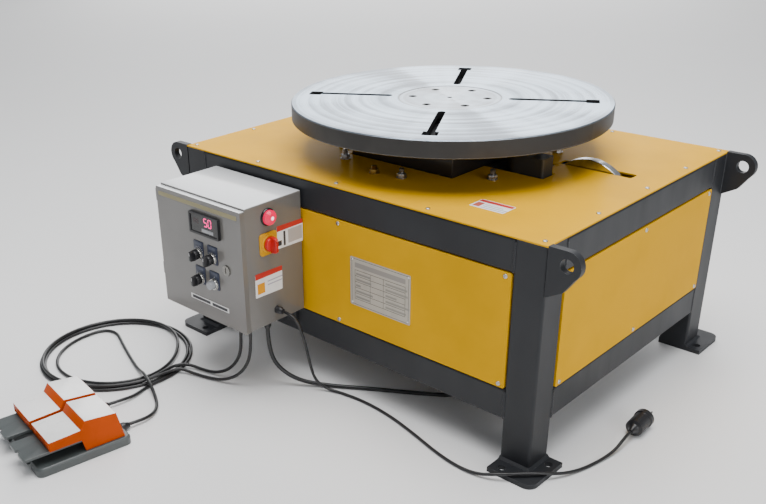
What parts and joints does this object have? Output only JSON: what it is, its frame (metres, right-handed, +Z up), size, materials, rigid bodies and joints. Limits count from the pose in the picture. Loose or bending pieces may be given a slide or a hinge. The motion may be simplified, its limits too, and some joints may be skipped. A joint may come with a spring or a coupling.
{
  "type": "welding positioner",
  "caption": "Floor-standing rotary welding positioner: slotted faceplate on a turret, tube frame with sheet covers, geared drive, side control box and a corded twin foot switch.",
  "frame": {"origin": "on the floor, on the faceplate's axis, midway between the four feet", "axes": "+Z up along the faceplate's axis; -Y towards the control box side; +X to the right of someone facing the control box"},
  "size_m": [1.3733, 1.5303, 0.623],
  "materials": {
    "frame_grey": "satin dark grey paint",
    "cover_yellow": "gloss yellow paint",
    "machined": "faced in a lathe, fine turning rings",
    "black_paint": "satin black paint",
    "gear_steel": "cut steel, oiled",
    "bolt_steel": "bright zinc plate",
    "bolt_black": "blackened steel",
    "reducer_grey": "dark paint on cast iron",
    "motor_grey": "satin blue-grey paint",
    "box_grey": "fine textured light grey powder coat",
    "zinc_plate": "galvanised sheet",
    "dark_plastic": "matt black",
    "blue_black": "matt blue-black label stock",
    "gloss_black": "gloss black",
    "clear_cap": "gloss light grey",
    "lock_nickel": "nickel plate",
    "lamp_red": "red lens",
    "switch_yellow": "gloss yellow",
    "switch_red": "gloss red",
    "label_silver": "bare printed-sheet blank",
    "pedal_grey": "hammered grey paint",
    "pedal_orange": "gloss orange paint",
    "cord_black": "black sheath"
  },
  "bodies": {
    "machine": {"leg_front_right": "frame_grey", "leg_front_left": "frame_grey", "leg_rear_right": "frame_grey", "leg_rear_left": "frame_grey", "top_rail_front": "frame_grey", "top_rail_rear": "frame_grey", "top_rail_right": "frame_grey", "top_rail_left": "frame_grey", "lower_rail_front": "frame_grey", "lower_rail_rear": "frame_grey", "lower_rail_right": "frame_grey", "lower_rail_left": "frame_grey", "lifting_lugs_right": "frame_grey", "lifting_lugs_left": "frame_grey", "cross_beam_left": "frame_grey", "cross_beam_right": "frame_grey", "turret_base_plate": "frame_grey", "panel_strips": "frame_grey", "top_cover": "cover_yellow", "front_panel": "cover_yellow", "rear_panel": "cover_yellow", "right_panel": "cover_yellow", "left_panel": "cover_yellow", "turret_box": "black_paint", "bearing_fixed_ring": "gear_steel", "cover_and_panel_screws": "bolt_steel", "reducer_housing": "reducer_grey", "drive_motor": "motor_grey", "control_box_body": "box_grey", "mounting_plate": "zinc_plate", "speed_drive": "dark_plastic", "cable_glands": "dark_plastic", "signal_lamp": "lamp_red", "main_switch_plate": "switch_yellow", "nameplate": "label_silver", "foot_switch_base": "pedal_grey", "foot_switch_guards": "pedal_orange", "pedal_cord_left": "cord_black", "pedal_cord_right": "cord_black", "pedal_cord_coil": "cord_black", "motor_cable": "cord_black", "supply_lead": "cord_black", "supply_plug": "cord_black"},
    "turntable": {"faceplate": "machined", "faceplate_hub": "gear_steel", "hub_bolts": "bolt_black", "ring_gear": "gear_steel"},
    "pinion_shaft": {"pinion": "gear_steel"},
    "worm_shaft": {"worm_shaft_wheel": "gear_steel"},
    "door": {"control_box_door": "box_grey", "panel_meter": "gloss_black", "legend_plates": "blue_black"},
    "speed_setting": {"speed_knob": "dark_plastic"},
    "direction_switch": {"direction_knob": "dark_plastic"},
    "mode_switch": {"mode_knob": "dark_plastic"},
    "start_button": {"push_button": "clear_cap"},
    "lock_insert": {"door_lock": "lock_nickel"},
    "switch_handle": {"main_switch_handle": "switch_red"},
    "pedal_left": {"treadle_left": "pedal_grey"},
    "pedal_right": {"treadle_right": "pedal_grey"}
  },
  "joints": [
    {"name": "faceplate_rotation", "type": "hinge", "parent": "machine", "child": "turntable", "pos_m": [0, 0, 0.56], "axis": [0, 0, 1], "continuous": true},
    {"name": "pinion_spin", "type": "hinge", "parent": "machine", "child": "pinion_shaft", "pos_m": [0.23065, -0.025, 0.56], "axis": [0, 0, 1], "continuous": true},
    {"name": "worm_shaft_spin", "type": "hinge", "parent": "machine", "child": "worm_shaft", "pos_m": [0.342, 0.074, 0.415], "axis": [0, 1, 0], "continuous": true},
    {"name": "door_opening", "type": "hinge", "parent": "machine", "child": "door", "pos_m": [-0.407, -0.5635, 0.32], "axis": [0, 0, -1], "range_deg": [0, 110]},
    {"name": "speed_setting_turn", "type": "hinge", "parent": "door", "child": "speed_setting", "pos_m": [-0.258, -0.5915, 0.337], "axis": [0, -1, 0], "range_deg": [-20, 250]},
    {"name": "direction_switch_turn", "type": "hinge", "parent": "door", "child": "direction_switch", "pos_m": [-0.209, -0.5915, 0.337], "axis": [0, -1, 0], "range_deg": [-45, 45]},
    {"name": "mode_switch_turn", "type": "hinge", "parent": "door", "child": "mode_switch", "pos_m": [-0.258, -0.5915, 0.275], "axis": [0, -1, 0], "range_deg": [-45, 45]},
    {"name": "start_button_press", "type": "slide", "parent": "door", "child": "start_button", "axis": [0, 1, 0], "range_m": [0, 0.004], "stiffness_N_per_m": 900, "springref_m": -0.002},
    {"name": "door_lock_turn", "type": "hinge", "parent": "door", "child": "lock_insert", "pos_m": [-0.164, -0.5795, 0.32], "axis": [0, -1, 0], "range_deg": [0, 90]},
    {"name": "main_switch_turn", "type": "hinge", "parent": "machine", "child": "switch_handle", "pos_m": [-0.095, -0.5025, 0.377], "axis": [1, 0, 0], "range_deg": [0, 90]},
    {"name": "left_pedal_press", "type": "hinge", "parent": "machine", "child": "pedal_left", "pos_m": [-0.35289, -0.92482, 0.042], "axis": [0.9877, -0.1564, 0], "range_deg": [0, 7], "stiffness_Nm_per_rad": 12, "springref_deg": -4.58},
    {"name": "right_pedal_press", "type": "hinge", "parent": "machine", "child": "pedal_right", "pos_m": [-0.24622, -0.94172, 0.042], "axis": [0.9877, -0.1564, 0], "range_deg": [0, 7], "stiffness_Nm_per_rad": 12, "springref_deg": -4.58}
  ],
  "couplings": [
    {"joint": "pinion_spin", "follows": "faceplate_rotation", "ratio": -4.8},
    {"joint": "worm_shaft_spin", "follows": "faceplate_rotation", "ratio": 48}
  ]
}
